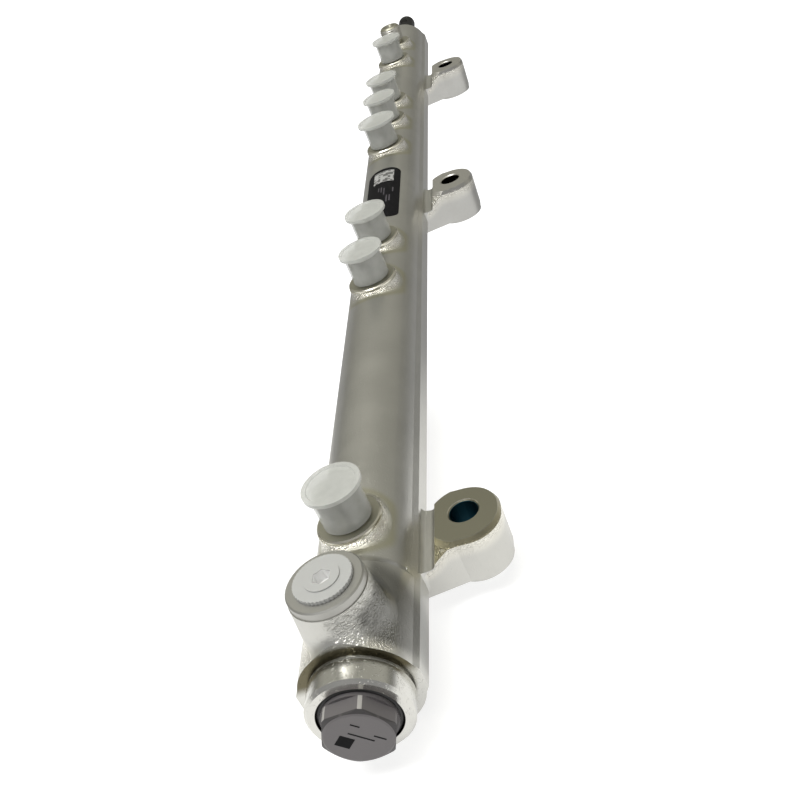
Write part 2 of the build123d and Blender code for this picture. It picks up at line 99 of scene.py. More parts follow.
@dataclass(frozen=True)
class RailLayout:
    """Where the rail's features lie, in millimetres, as the solids and their mounts give it.

    Attributes:
        axis_y: Sideways place of the rail's axis.
        axis_z: Height of the rail's axis.
        ports: Stations of the eight high-pressure ports along X.
        return_port: Station of the return port.
        lugs: Stations of the three bolt holes.
        spot_face: Height of the bolt seats above the lug feet.
        valve_face: Station of the limiting valve's outer end.
        cap_wall_foot: Height in the frame where a cap's sleeve ends in its thick end.
    """

    axis_y: float
    axis_z: float
    ports: tuple[float, ...]
    return_port: float
    lugs: tuple[float, ...]
    spot_face: float
    valve_face: float
    cap_wall_foot: float

    @classmethod
    def from_frame(cls) -> "RailLayout":
        """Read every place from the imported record's mounts and the nodes' boxes.

        Returns:
            The layout in millimetres.
        """
        mounts = {m["name"]: np.array(m["pos_m"]) / MM for m in frame["record"]["mounts"]}
        ports = [mounts[name] for name in sorted(mounts) if name.startswith("port_")]
        lugs = sorted(place[0] for name, place in mounts.items() if name.startswith("lug_bore"))
        spot = next(place for name, place in mounts.items() if name.startswith("bolt_seat"))
        seal_low, seal_high = (np.array(corner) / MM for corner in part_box("valve_seal_ring"))
        axis = (seal_low + seal_high) / 2
        return cls(
            axis_y=float(axis[1]),
            axis_z=float(axis[2]),
            ports=tuple(float(place[0]) for place in ports),
            return_port=float(mounts["return_port"][0]),
            lugs=tuple(float(x) for x in lugs),
            spot_face=float(spot[2]),
            valve_face=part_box("valve_housing")[0].x / MM,
            cap_wall_foot=float(ports[0][2]) - CAP_SEAT,
        )


# ---------------------------------------------------------------- meshes from arrays


def on_rail(layout: RailLayout, x: np.ndarray, radius: np.ndarray, angle: np.ndarray) -> np.ndarray:
    """Points about the rail's axis, from cylinder coordinates.

    The angle is measured from straight up towards -Y: y = axis - radius * sin(angle) and
    z = axis + radius * cos(angle).

    Args:
        layout: Where the rail's axis lies.
        x: Stations in millimetres.
        radius: Distances from the axis in millimetres.
        angle: Angles in radians.

    Returns:
        The points in metres, with the coordinates in the last dimension.
    """
    y = layout.axis_y - radius * np.sin(angle)
    z = layout.axis_z + radius * np.cos(angle)
    return np.stack(np.broadcast_arrays(x, y, z), axis=-1) * MM


def grid_faces(rows: int, columns: int, wrap_rows: bool = False, wrap_columns: bool = False) -> np.ndarray:
    """Quads of a grid of points stored row by row.

    Each quad joins a point with its neighbours in the next column, the next row and column,
    and the next row; a wrapped side joins its last points to its first.

    Args:
        rows: How many rows of points there are.
        columns: How many points there are in a row.
        wrap_rows: Whether the last row joins the first.
        wrap_columns: Whether the last column joins the first.

    Returns:
        An array of four point numbers a face.
    """
    i = np.arange(rows if wrap_rows else rows - 1)[:, None]
    j = np.arange(columns if wrap_columns else columns - 1)[None, :]
    nxt_i, nxt_j = (i + 1) % rows, (j + 1) % columns
    corners = [i * columns + j, i * columns + nxt_j, nxt_i * columns + nxt_j, nxt_i * columns + j]
    return np.stack(np.broadcast_arrays(*corners), axis=-1).reshape(-1, 4)


def mesh_object(name: str, points: np.ndarray, faces: np.ndarray, smooth: bool = True) -> Piece:
    """Put points and quads into a mesh object at the origin, merged and facing outwards.

    Args:
        name: Name of the piece.
        points: Places in metres.
        faces: Four point numbers a face.
        smooth: Whether the faces are shaded smooth.

    Returns:
        The new object, linked to the scene.
    """
    mesh = bpy.data.meshes.new(name)
    mesh.from_pydata(points.reshape(-1, 3).tolist(), [], faces.tolist())
    work = bmesh.new()
    work.from_mesh(mesh)
    bmesh.ops.remove_doubles(work, verts=work.verts, dist=MERGE)
    bmesh.ops.recalc_face_normals(work, faces=work.faces)
    work.to_mesh(mesh)
    work.free()
    mesh.polygons.foreach_set("use_smooth", np.full(len(mesh.polygons), smooth))
    piece = bpy.data.objects.new(name, mesh)
    bpy.context.scene.collection.objects.link(piece)
    return piece


def plate_on_rail(
    name: str, layout: RailLayout, x: Span, angle: Span, radius: Span, steps: int = 16,
) -> Piece:
    """A thin plate wrapped on the rail, rectangular when laid flat.

    The plate is one closed ring of four sections (outer face, edge, inner face, edge) at each
    station, and its two ends are the ring drawn together to its middle line.

    Args:
        name: Name of the piece.
        layout: Where the rail's axis lies.
        x: First and last station.
        angle: First and last angle in radians, as on_rail measures it.
        radius: Inner and outer distance from the axis.
        steps: Steps round the rail.

    Returns:
        The plate.
    """
    sweep = np.linspace(angle[0], angle[1], steps)
    ring_angle = np.concatenate([sweep, sweep[::-1]])
    ring_radius = np.concatenate([np.full(steps, radius[1]), np.full(steps, radius[0])])
    middle = np.full(2 * steps, sum(radius) / 2)
    stations = np.array([x[0], x[0], x[1], x[1]])[:, None]
    radii = np.stack([middle, ring_radius, ring_radius, middle])
    points = on_rail(layout, stations, radii, ring_angle[None, :])
    return mesh_object(name, points, grid_faces(4, 2 * steps, wrap_columns=True), smooth=False)


# ---------------------------------------------------------------- node trees


class Wiring:
    """Short calls that build one material's node tree."""

    def __init__(self, tree: NodeTree) -> None:
        """Start wiring a tree.

        Args:
            tree: The tree that the nodes go into.
        """
        self.tree = tree

    def node(self, kind: str, **settings: object) -> Node:
        """Add a node.

        Args:
            kind: Blender's name of the node type, without ShaderNode.
            **settings: Properties to set on it.

        Returns:
            The new node.
        """
        made = self.tree.nodes.new("ShaderNode" + kind)
        for key, value in settings.items():
            setattr(made, key, value)
        return made

    def feed(self, socket: Socket, value: object) -> None:
        """Give a socket its value, by a link where the value is a socket itself.

        Args:
            socket: The input socket.
            value: A socket, a number or a tuple.
        """
        if isinstance(value, Socket):
            self.tree.links.new(value, socket)
        else:
            socket.default_value = value

    def math(self, operation: str, *values: Feed) -> Socket:
        """Result of a Math node.

        Args:
            operation: Its operation, such as ADD.
            *values: Its inputs in order.

        Returns:
            The output socket.
        """
        made = self.node("Math", operation=operation)
        for socket, value in zip(made.inputs, values):
            self.feed(socket, value)
        return made.outputs[0]

    def length(self, a: Feed, b: Feed) -> Socket:
        """Length of the vector (a, b)."""
        squares = self.math("ADD", self.math("MULTIPLY", a, a), self.math("MULTIPLY", b, b))
        return self.math("SQRT", squares)

    def nearest(self, value: Socket, stations: tuple[float, ...]) -> Socket:
        """Distance from a value to the nearest of some stations.

        Args:
            value: The running coordinate.
            stations: The places to measure from.

        Returns:
            The least of the distances.
        """
        gaps = [self.math("ABSOLUTE", self.math("SUBTRACT", value, s)) for s in stations]
        least = gaps[0]
        for gap in gaps[1:]:
            least = self.math("MINIMUM", least, gap)
        return least

    def rise(self, value: Feed, low: float, high: float, top: float = 1.0) -> Socket:
        """Smooth step: 0 below low and top above high, or the reverse where low is above high.

        Args:
            value: The running value.
            low: Where the step starts.
            high: Where the step ends.
            top: Height of the step.

        Returns:
            The stepped value.
        """
        made = self.node("MapRange", interpolation_type="SMOOTHSTEP")
        for name, entry in {"Value": value, "From Min": low, "From Max": high, "To Max": top}.items():
            self.feed(made.inputs[name], entry)
        return made.outputs["Result"]

    def beyond(self, value: Feed, edge: float, blur: float) -> Socket:
        """Mask that is 1 above an edge and fades to 0 over the blur below it."""
        return self.rise(value, edge - blur, edge)

    def within(self, value: Feed, edge: float, blur: float) -> Socket:
        """Mask that is 1 below an edge and fades to 0 over the blur above it."""
        return self.rise(value, edge + blur, edge)

    def outside(self, mask: Socket) -> Socket:
        """The reverse of a mask."""
        return self.math("SUBTRACT", 1.0, mask)

    def both(self, *masks: Feed) -> Socket:
        """Product of masks.

        Args:
            *masks: The masks.

        Returns:
            1 only where all are 1.
        """
        product = masks[0]
        for mask in masks[1:]:
            product = self.math("MULTIPLY", product, mask)
        return product

    def either(self, *masks: Feed) -> Socket:
        """Largest of masks.

        Args:
            *masks: The masks.

        Returns:
            1 where any is 1.
        """
        largest = masks[0]
        for mask in masks[1:]:
            largest = self.math("MAXIMUM", largest, mask)
        return largest

    def blend(self, mask: Feed, a: Feed, b: Feed) -> Socket:
        """Mix two numbers.

        Args:
            mask: How far to go.
            a: Number where the mask is 0.
            b: Number where the mask is 1.

        Returns:
            The mixed number.
        """
        made = self.node("Mix", data_type="FLOAT")
        for socket, value in zip((made.inputs[0], made.inputs[2], made.inputs[3]), (mask, a, b)):
            self.feed(socket, value)
        return made.outputs[0]

    def tint(self, mask: Feed, a: Socket | Colour, b: Socket | Colour) -> Socket:
        """Mix two colours.

        Args:
            mask: How far to go.
            a: Colour where the mask is 0.
            b: Colour where the mask is 1.

        Returns:
            The mixed colour.
        """
        made = self.node("Mix", data_type="RGBA")
        self.feed(made.inputs[0], mask)
        for socket, value in zip((made.inputs[6], made.inputs[7]), (a, b)):
            self.feed(socket, value if isinstance(value, Socket) else (*value, 1.0))
        return made.outputs[2]

    def paint(self, colour: Socket | Colour, *layers: tuple[Feed, Socket | Colour]) -> Socket:
        """Lay colours over each other.

        Args:
            colour: The lowest colour.
            *layers: A mask and its colour for each layer, from the lowest.

        Returns:
            The painted colour.
        """
        for mask, layer in layers:
            colour = self.tint(mask, colour, layer)
        return colour

    def noise(self, vector: Socket, scale: float, detail: float = 2.0, distortion: float = 0.0) -> Socket:
        """Noise between about 0.2 and 0.8.

        Args:
            vector: The coordinates it is drawn on.
            scale: Patches in each unit of the coordinates.
            detail: How many finer layers it has.
            distortion: How much it is folded into itself.

        Returns:
            The noise's value.
        """
        made = self.node("TexNoise")
        entries = {"Vector": vector, "Scale": scale, "Detail": detail, "Distortion": distortion}
        for name, value in entries.items():
            self.feed(made.inputs[name], value)
        return made.outputs[0]

    def bump(
        self, height: Feed, distance: float, strength: Feed = 1.0, normal: Socket | None = None,
    ) -> Socket:
        """Normal bent by a height.

        Args:
            height: Height, 0 to 1.
            distance: Real height in metres that 1 stands for.
            strength: How far the bend is taken.
            normal: A normal that is already bent.

        Returns:
            The bent normal.
        """
        made = self.node("Bump")
        entries = {"Height": height, "Distance": distance, "Strength": strength}
        for name, value in entries.items():
            self.feed(made.inputs[name], value)
        if normal is not None:
            self.feed(made.inputs["Normal"], normal)
        return made.outputs[0]

    def place(self) -> tuple[Socket, Socket, Socket, Socket]:
        """Object coordinates in millimetres.

        Returns:
            The vector and its X, Y and Z.
        """
        scaled = self.node("VectorMath", operation="SCALE")
        self.feed(scaled.inputs[0], self.node("TexCoord").outputs["Object"])
        scaled.inputs["Scale"].default_value = 1 / MM
        split = self.node("SeparateXYZ")
        self.feed(split.inputs[0], scaled.outputs[0])
        return scaled.outputs[0], *split.outputs


# ---------------------------------------------------------------- finishes


@dataclass(frozen=True)
class Relief:
    """A noise that stands up from a skin.

    Attributes:
        scale: Its patches in a millimetre.
        depth: Its height in millimetres.
        detail: How many finer layers it has.
        distortion: How much it is folded into itself.
        peaks: Values between which it rises, where only its peaks stand up.
        stretch: How many times finer it is along Z.
    """

    scale: float
    depth: float
    detail: float = 3.0
    distortion: float = 0.0
    peaks: Span | None = None
    stretch: float = 1.0

    def bend(self, w: Wiring, vector: Socket, mask: Feed = 1.0, normal: Socket | None = None) -> Socket:
        """Bend a normal by the noise.

        Args:
            w: The tree's wiring.
            vector: The coordinates in millimetres.
            mask: Where the noise stands up.
            normal: A normal that is already bent.

        Returns:
            The bent normal.
        """
        if self.stretch != 1.0:
            flat = w.node("VectorMath", operation="MULTIPLY")
            w.feed(flat.inputs[0], vector)
            w.feed(flat.inputs[1], (1.0, 1.0, self.stretch))
            vector = flat.outputs[0]
        height = w.noise(vector, self.scale, self.detail, self.distortion)
        if self.peaks is not None:
            height = w.rise(height, *self.peaks)
        return w.bump(height, self.depth * MM, mask, normal)


@dataclass(frozen=True)
class Finish:
    """A finish of one plain stuff, with fine grain and a little variation in tone.

    Attributes:
        name: Name of the material.
        colour: Its colour, linear.
        roughness: Its mean roughness.
        metallic: 1 for bare or plated metal.
        grain: Size of its surface grain in millimetres.
        grain_depth: Height of the grain in millimetres.
        variation: How far tone and roughness wander.
        specular: Strength of the mirror-like light of a plain stuff, where 0.5 is common.
    """

    name: str
    colour: Colour
    roughness: float
    metallic: float = 0.0
    grain: float = 0.4
    grain_depth: float = 0.01
    variation: float = 0.08
    specular: float = 0.5

    def material(self) -> Material:
        """Build the material.

        Returns:
            The material with its node tree wired.
        """
        made = bpy.data.materials.new(self.name)
        made.use_nodes = True
        shader = made.node_tree.nodes["Principled BSDF"]
        shader.inputs["Metallic"].default_value = self.metallic
        shader.inputs["Specular IOR Level"].default_value = self.specular
        self.wire(Wiring(made.node_tree), shader)
        return made

    def toned(self, share: float) -> Colour:
        """The finish's colour times a share, at most white."""
        return tuple(min(1.0, share * part) for part in self.colour)

    def grained(self) -> Relief:
        """The relief of the surface grain."""
        return Relief(1 / self.grain, self.grain_depth)

    def wire(self, w: Wiring, shader: Node) -> None:
        """Wire tone, roughness and grain into the shader.

        Args:
            w: The tree's wiring.
            shader: The Principled shader.
        """
        vector, *_ = w.place()
        cloud = w.noise(vector, CLOUD_SCALE / self.grain, 3.0)
        shade, light = self.toned(1 - 2 * self.variation), self.toned(1 + 2 * self.variation)
        w.feed(shader.inputs["Base Color"], w.tint(w.rise(cloud, *CLOUD_SPAN), shade, light))
        rough = w.math("MULTIPLY_ADD", cloud, self.variation, self.roughness - self.variation / 2)
        w.feed(shader.inputs["Roughness"], rough)
        w.feed(shader.inputs["Normal"], self.grained().bend(w, vector))


@dataclass(frozen=True)
class MilkyPlastic(Finish):
    """Soft translucent polyethylene, which veils what lies behind it.

    Attributes:
        veil: Share of the light that the skin of the thick end stops, from 0 to 1.
        sleeve_veil: The same share for the thin sleeve.
        sleeve_top: Height in millimetres below which the wall is thin.
        sleeve_blur: Height in millimetres over which the wall thins.
        glow: Share of the light that is scattered inside the wall.
        depth: How far that light travels, in millimetres.
        refraction: Index of refraction.
    """

    veil: float = 0.6
    sleeve_veil: float = 0.42
    sleeve_top: float = -1000.0
    sleeve_blur: float = 0.3
    glow: float = 0.15
    depth: float = 3.0
    refraction: float = 1.5

    def wire(self, w: Wiring, shader: Node) -> None:
        """Wire the plain finish, then the veil and the glow inside the wall.

        Args:
            w: The tree's wiring.
            shader: The Principled shader.
        """
        super().wire(w, shader)
        *_, z = w.place()
        sleeve = w.within(z, self.sleeve_top, self.sleeve_blur)
        w.feed(shader.inputs["Alpha"], w.blend(sleeve, self.veil, self.sleeve_veil))
        shader.inputs["Subsurface Weight"].default_value = self.glow
        shader.inputs["Subsurface Scale"].default_value = self.depth * MM
        shader.inputs["Subsurface Radius"].default_value = (1.0, 1.0, 1.0)
        shader.inputs["IOR"].default_value = self.refraction


@dataclass(frozen=True)
class SocketPlastic(MilkyPlastic):
    """Milky plastic with painted light inside its socket, standing in for the light its walls pass to each
    other.

    Attributes:
        middle: X and Y of the socket's axis in millimetres.
        mouth: Height of the socket's mouth in millimetres.
        socket_r: Radius that holds the socket.
        rim: How far below the mouth the wall stays plain.
        lit: Painted light inside the socket.
    """

    middle: tuple[float, float] = (0.0, 0.0)
    mouth: float = 0.0
    socket_r: float = 4.1
    rim: float = 0.3
    lit: Colour = (0.86, 0.86, 0.86)

    def wire(self, w: Wiring, shader: Node) -> None:
        """Wire the milky plastic, then the lit socket.

        Args:
            Wire the milky plastic, then the painted light in the socket.
            shader: The Principled shader.
        """
        super().wire(w, shader)
        _, x, y, z = w.place()
        across = w.length(w.math("SUBTRACT", x, self.middle[0]), w.math("SUBTRACT", y, self.middle[1]))
        # painted light inside the socket
        inside = w.both(w.within(across, self.socket_r, CRISP), w.within(z, self.mouth - self.rim, SOFT))
        w.feed(shader.inputs["Base Color"], w.tint(inside, self.colour, self.lit))


@dataclass(frozen=True)
class PatternInk(Finish):
    """Pale ink with a plain pattern of small dark squares.

    Attributes:
        step: Side of a square in millimetres.
        dark: Colour of the dark squares.
        share: Share of the squares that are dark.
    """

    step: float = 1.5
    dark: Colour = (0.1, 0.1, 0.1)
    share: float = 0.38

    def wire(self, w: Wiring, shader: Node) -> None:
        """Wire the plain finish, then the squares.

        Args:
            w: The tree's wiring.
            shader: The Principled shader.
        """
        super().wire(w, shader)
        _, x, y, _ = w.place()
        cell = w.node("CombineXYZ")
        w.feed(cell.inputs[0], w.math("FLOOR", w.math("DIVIDE", x, self.step)))
        w.feed(cell.inputs[1], w.math("FLOOR", w.math("DIVIDE", y, self.step)))
        chance = w.node("TexWhiteNoise", noise_dimensions="2D")
        w.feed(chance.inputs["Vector"], cell.outputs[0])
        dark = w.math("LESS_THAN", chance.outputs["Value"], self.share)
        w.feed(shader.inputs["Base Color"], w.tint(dark, self.colour, self.dark))


@dataclass(frozen=True)
class ValveSteel(Finish):
    """Matt plating of the limiting valve, with painted shade on the chamfer round its face and a painted
    highlight on its upper corners.

    Attributes:
        layout: Where the rail's axis and the valve's face lie.
        corner_r: Distance from the axis beyond which a corner takes the painted highlight.
        face_r: Radius of the flat end face, round which the chamfer takes painted shade.
        face_blur: Width over which the face's tone gives way to the chamfer's.
        chamfer_depth: How far that chamfer reaches back from the face.
        chamfer_shade_tone: Tone of the painted shade on the chamfer, as a share of the finish's colour.
        highlight_depth: How far the painted highlight on the corners reaches back from the face.
        highlight_height: Height above the axis from which the corners take it, and the blur below it.
        corner_highlight: Colour of the painted highlight on the upper corners.
    """

    layout: RailLayout | None = None
    corner_r: float = 12.3
    face_r: float = 10.95
    face_blur: float = 0.08
    chamfer_depth: float = 1.25
    chamfer_shade_tone: float = 0.4
    highlight_depth: float = 5.8
    highlight_height: Edge = (9.0, 1.0)
    corner_highlight: Colour = (0.4, 0.39, 0.38)

    def wire(self, w: Wiring, shader: Node) -> None:
        """Wire the plain finish, then the painted shade on the face's chamfer and the painted highlight on
        the upper corners.

        Args:
            w: The tree's wiring.
            shader: The Principled shader.
        """
        super().wire(w, shader)
        lay = self.layout
        _, x, y, z = w.place()
        height = w.math("SUBTRACT", z, lay.axis_z)
        from_axis = w.length(w.math("SUBTRACT", y, lay.axis_y), height)
        depth = w.math("SUBTRACT", x, lay.valve_face)
        # painted shade on the chamfer round the face, and a painted highlight on the corners above the axis
        off_face = w.beyond(from_axis, self.face_r + self.face_blur, self.face_blur)
        chamfer = w.both(off_face, w.within(depth, self.chamfer_depth, CRISP))
        corner = w.both(w.beyond(from_axis, self.corner_r + SHARP, SHARP),
                        w.within(depth, self.highlight_depth, SOFT), w.beyond(height, *self.highlight_height))
        colour = w.paint(self.colour, (chamfer, self.toned(self.chamfer_shade_tone)), (corner, self.corner_highlight))
        w.feed(shader.inputs["Base Color"], colour)


@dataclass(frozen=True)
class OnForging:
    """Where a shaded point lies on the forging, in millimetres.

    Attributes:
        w: The tree's wiring.
        vector: Its object coordinates.
        x: Its station along the rail.
        y: Its sideways place.
        z: Its height above the lug feet.
        across: Its sideways distance from the rail's axis, negative towards the lugs.
        height: Its height above the rail's axis.
        from_axis: Its distance from the rail's axis.
        return_r: Its distance from the return port's axis.
        past_seat: How far it lies outside the rim of the nearest port seat.
        past_hole: How far it lies outside the wall of the nearest bolt hole.
        past_collar: How far it lies outside the collar's skin.
        past_return: How far along the rail it lies beyond the return port.
        past_shoulder: How far along the rail it lies beyond the collar's shoulder.
        over_spot: Its height above the bolt seats.
        under_ridge: Its depth below the widest line of the nearest lug.
    """

    w: Wiring
    vector: Socket
    x: Socket
    y: Socket
    z: Socket
    across: Socket
    height: Socket
    from_axis: Socket
    return_r: Socket
    past_seat: Socket
    past_hole: Socket
    past_collar: Socket
    past_return: Socket
    past_shoulder: Socket
    over_spot: Socket
    under_ridge: Socket


@dataclass(frozen=True)
class Patch:
    """A patch of the forging's skin, bounded in the measures of OnForging.

    Attributes:
        below: The edge of each measure that the patch lies below.
        above: The edge of each measure that the patch lies above.
    """

    below: dict[str, Edge] = field(default_factory=dict)
    above: dict[str, Edge] = field(default_factory=dict)

    def mask(self, at: OnForging) -> Socket:
        """Wire the patch as the product of its bounds.

        Args:
            at: Where the point lies.

        Returns:
            1 inside the patch.
        """
        return at.w.both(
            *(at.w.within(getattr(at, measure), *edge) for measure, edge in self.below.items()),
            *(at.w.beyond(getattr(at, measure), *edge) for measure, edge in self.above.items()))


@dataclass(frozen=True)
class Zones:
    """Zones of the forging's skin, as masks.

    Attributes:
        far: All that lies well beyond the first lug.
        seat: Port seats.
        spot: Spot faces round the bolt holes.
        hole: Walls of the bolt holes.
        edge: Chamfers round the seats and the holes, whose colour is a painted highlight.
        turned: The turned collar.
        inside: The collar's bore.
        land: The return boss's turned land.
        plain: Skin as it was forged.
        creased: Creased hollows of the plain skin.
    """

    far: Socket
    seat: Socket
    spot: Socket
    hole: Socket
    edge: Socket
    turned: Socket
    inside: Socket
    land: Socket
    plain: Socket
    creased: Socket


@dataclass(frozen=True)
class ForgedRailFinish(Finish):
    """Zinc-nickel plating over a drop forging, with its machined faces and creased hollows.

    Attributes:
        layout: Where ports, lugs and ends lie.
        near_spot_shade: Colour of the spot face nearest the valve, darker than the others: painted shade.
        far_spot_sheen: Colour of the other spot faces and of the far lugs' tops, paler: a painted sheen.
        seat_colour: Colour of the port seats.
        edge_highlight: Colour of the chamfers round seats and holes: a painted highlight.
        near_hole_shade: Painted shade inside the bolt hole nearest the valve, bluish as a painted reflection.
        far_hole_shade: Painted shade inside the other bolt holes.
        crease_highlight: Colour of the creased hollows, lighter than the skin: a painted highlight.
        neck_shade: Darker olive colour of the skin round a port's neck: painted shade.
        shade: Painted shade on the shoulder of the lug nearest the valve.
        end_face_shade: Painted shade on the end face of the forging round the collar.
        bore_shade: Painted shade in the collar's bore.
        clouds: Patches of its slow noise in a millimetre.
        cloud_tone: Tone of the skin's darker clouds, as a share of its colour.
        land_tone: The same for the return boss's land.
        behind_shade_tone: The same for the painted shade on the skin behind the return boss.
        turned_tone: The same for the collar.
        swing: How far the plain skin's roughness wanders.
        machined_rough: Roughness of the seats and spot faces.
        land_rough: Roughness of the return boss's land.
        crease_rough: Roughness of the creased hollows.
        turned_rough: Roughness of the collar and the bright chamfers.
        far_margin: How far beyond a lug the far colours start, and how far before the next they end.
        far_edge: Share of the painted highlight on the near hole's chamfer that the far holes have.
        seat_r: Radius of the port seats.
        hole_r: Radius of the bolt holes.
        collar_r: Radius of the collar.
        crown_r: Radius of a lug's crown.
        crown_shift: How far the crown's middle lies from the bolt hole along the rail.
        ridge_above_axis: Height of a lug's widest line above the axis.
        shoulder: Station where the forging ends and the collar begins.
        seat: Port seats.
        seat_rim: Chamfers round them, which take the painted highlight.
        spot: Spot faces.
        hole_rim: Chamfers round the bolt holes, which take the painted highlight.
        hole: Walls of the bolt holes.
        collar: The collar.
        bore: The collar's bore.
        land: The return boss's turned land.
        hollows: Creased hollows.
        neck: Skin round a port's neck, which takes painted shade.
        behind_boss: Skin between the return boss and the tube, which takes painted shade.
        lug_top: A lug's skin above its ridge, which takes painted shade on the lug nearest the valve and the
            far spot faces' painted sheen on the others.
        shaded_end_face: End face of the forging round the collar, which takes painted shade.
        rippled: Rippled flank of the return boss.
        sparkle: Relief of single bright grains.
        lumps: Relief of the forging's unevenness.
        folds: Relief of the creased hollows.
        ripples: Relief of the return boss's flank.
        dents: Relief of the collar.
        turning: Distance between the collar's turning marks.
        turning_depth: Depth of the marks.
        turning_share: How far the marks bend the light.
    """

    layout: RailLayout | None = None
    near_spot_shade: Colour = (0.27, 0.26, 0.2)
    far_spot_sheen: Colour = (0.5, 0.49, 0.46)
    seat_colour: Colour = (0.4, 0.39, 0.32)
    edge_highlight: Colour = (0.62, 0.6, 0.52)
    near_hole_shade: Colour = (0.045, 0.13, 0.165)
    far_hole_shade: Colour = (0.02, 0.016, 0.01)
    crease_highlight: Colour = (0.78, 0.76, 0.69)
    neck_shade: Colour = (0.5, 0.485, 0.37)
    shade: Colour = (0.27, 0.25, 0.17)
    end_face_shade: Colour = (0.14, 0.125, 0.08)
    bore_shade: Colour = (0.05, 0.05, 0.045)
    clouds: float = 0.06
    cloud_tone: float = 0.93
    land_tone: float = 0.75
    behind_shade_tone: float = 0.42
    turned_tone: float = 1.12
    swing: float = 0.1
    machined_rough: float = 0.42
    land_rough: float = 0.45
    crease_rough: float = 0.26
    turned_rough: float = 0.24
    far_margin: float = 80.0
    far_edge: float = 0.15
    seat_r: float = 11.9
    hole_r: float = 5.25
    collar_r: float = 17.1
    crown_r: float = 13.4
    crown_shift: float = -1.1
    ridge_above_axis: float = 6.8
    shoulder: float = -345.8
    seat: Patch = Patch({"past_seat": (0.1, SHARP)}, {"height": (19.8, SOFT)})
    seat_rim: Patch = Patch(above={"past_seat": (-0.5, SHARP)})
    spot: Patch = Patch({"over_spot": (0.3, CRISP), "y": (10.8, SOFT)}, {"over_spot": (-0.12, CRISP)})
    hole_rim: Patch = Patch({"past_hole": (0.6, SHARP)})
    hole: Patch = Patch({"past_hole": (0.05, CRISP), "over_spot": (-0.52, SOFT)})
    collar: Patch = Patch({"past_shoulder": (0.0, SOFT)})
    bore: Patch = Patch({"past_shoulder": (0.0, SOFT), "past_collar": (-3.5, CRISP)})
    land: Patch = Patch({"return_r": (14.0, 0.5)}, {"height": (30.5, SHARP)})
    hollows: tuple[Patch, ...] = (
        # under a port seat
        Patch({"past_seat": (1.0, 4.0)}, {"height": (17.0, 4.5)}),
        # at the foot of the return boss
        Patch({"return_r": (20.0, 3.5), "height": (17.0, 4.0), "past_return": (-6.0, 10.0)},
              {"height": (14.0, 5.0)}),
        # under a lug's ridge, round its nose
        Patch({"under_ridge": (0.5, 6.5), "y": (12.5, 1.0)}, {"under_ridge": (-0.2, 0.4), "z": (12.0, 4.0)}),
        # and lower down, where the ridge nears the tube
        Patch({"under_ridge": (0.5, 6.5), "y": (16.0, 2.0), "z": (13.2, 0.4)},
              {"under_ridge": (-0.2, 0.4), "z": (12.0, 4.0)}),
    )
    neck: Patch = Patch({"past_seat": (3.5, 3.5)}, {"height": (14.0, 3.0)})
    behind_boss: Patch = Patch(
        {"return_r": (20.0, 7.0), "height": (25.0, 4.0), "across": (-10.0, 4.0)},
        {"past_return": (-10.0, 6.0)})
    lug_top: Patch = Patch({"under_ridge": (0.05, 0.2), "y": (12.5, 1.5)}, {"z": (15.2, 1.0)})
    shaded_end_face: Patch = Patch(
        {"past_shoulder": (0.06, 0.06), "past_collar": (2.5, 2.0)},
        {"past_shoulder": (-0.06, 0.06), "past_collar": (-0.3, SOFT), "height": (8.0, 5.0)})
    rippled: Patch = Patch({"return_r": (16.5, 2.0), "across": (-4.0, 7.0)}, {"height": (20.0, 3.0)})
    sparkle: Relief = Relief(1.3, 0.035, 2.0, peaks=(0.58, 0.7))
    lumps: Relief = Relief(0.3, 0.07, distortion=0.4)
    folds: Relief = Relief(1.5, 0.5, distortion=0.8)
    ripples: Relief = Relief(0.5, 1.1, 2.0, 0.8, stretch=2.2)
    dents: Relief = Relief(0.9, 0.04, 2.0, 1.0, peaks=(0.62, 0.7))
    turning: float = 0.35
    turning_depth: float = 0.002
    turning_share: float = 0.6

    def wire(self, w: Wiring, shader: Node) -> None:
        """Wire the skin, the creases, the machined faces and the turned collar.

        Args:
            w: The tree's wiring.
            shader: The Principled shader.
        """
        at = self.measured(w)
        zones = self.zones(at)
        cloud = w.noise(at.vector, self.clouds, 4.0)
        w.feed(shader.inputs["Base Color"], self.painted(at, zones, cloud))
        w.feed(shader.inputs["Roughness"], self.rubbed(w, zones, cloud))
        normal = self.turned_normal(at, zones, self.forged_normal(at, zones))
        w.feed(shader.inputs["Normal"], normal)

    def measured(self, w: Wiring) -> OnForging:
        """Wire the measures.

        A lug's widest line is level round its nose, and follows the sloped shoulder where the
        shoulder is lower.

        Args:
            w: The tree's wiring.

        Returns:
            Where the point lies.
        """
        lay = self.layout
        vector, x, y, z = w.place()
        across = w.math("SUBTRACT", y, lay.axis_y)
        height = w.math("SUBTRACT", z, lay.axis_z)
        from_axis = w.length(across, height)
        port_r = w.length(w.nearest(x, lay.ports), across)
        bolt_r = w.length(w.nearest(x, lay.lugs), y)
        crown_r = w.length(w.nearest(x, tuple(station + self.crown_shift for station in lay.lugs)), y)
        slope = w.math("SUBTRACT", lay.spot_face + self.crown_r, crown_r)
        ridge = w.math("MINIMUM", slope, lay.axis_z + self.ridge_above_axis)
        return OnForging(
            w, vector, x, y, z, across, height, from_axis,
            return_r=w.length(w.math("SUBTRACT", x, lay.return_port), across),
            past_seat=w.math("SUBTRACT", port_r, self.seat_r),
            past_hole=w.math("SUBTRACT", bolt_r, self.hole_r),
            past_collar=w.math("SUBTRACT", from_axis, self.collar_r),
            past_return=w.math("SUBTRACT", x, lay.return_port),
            past_shoulder=w.math("SUBTRACT", x, self.shoulder),
            over_spot=w.math("SUBTRACT", z, lay.spot_face),
            under_ridge=w.math("SUBTRACT", ridge, z),
        )

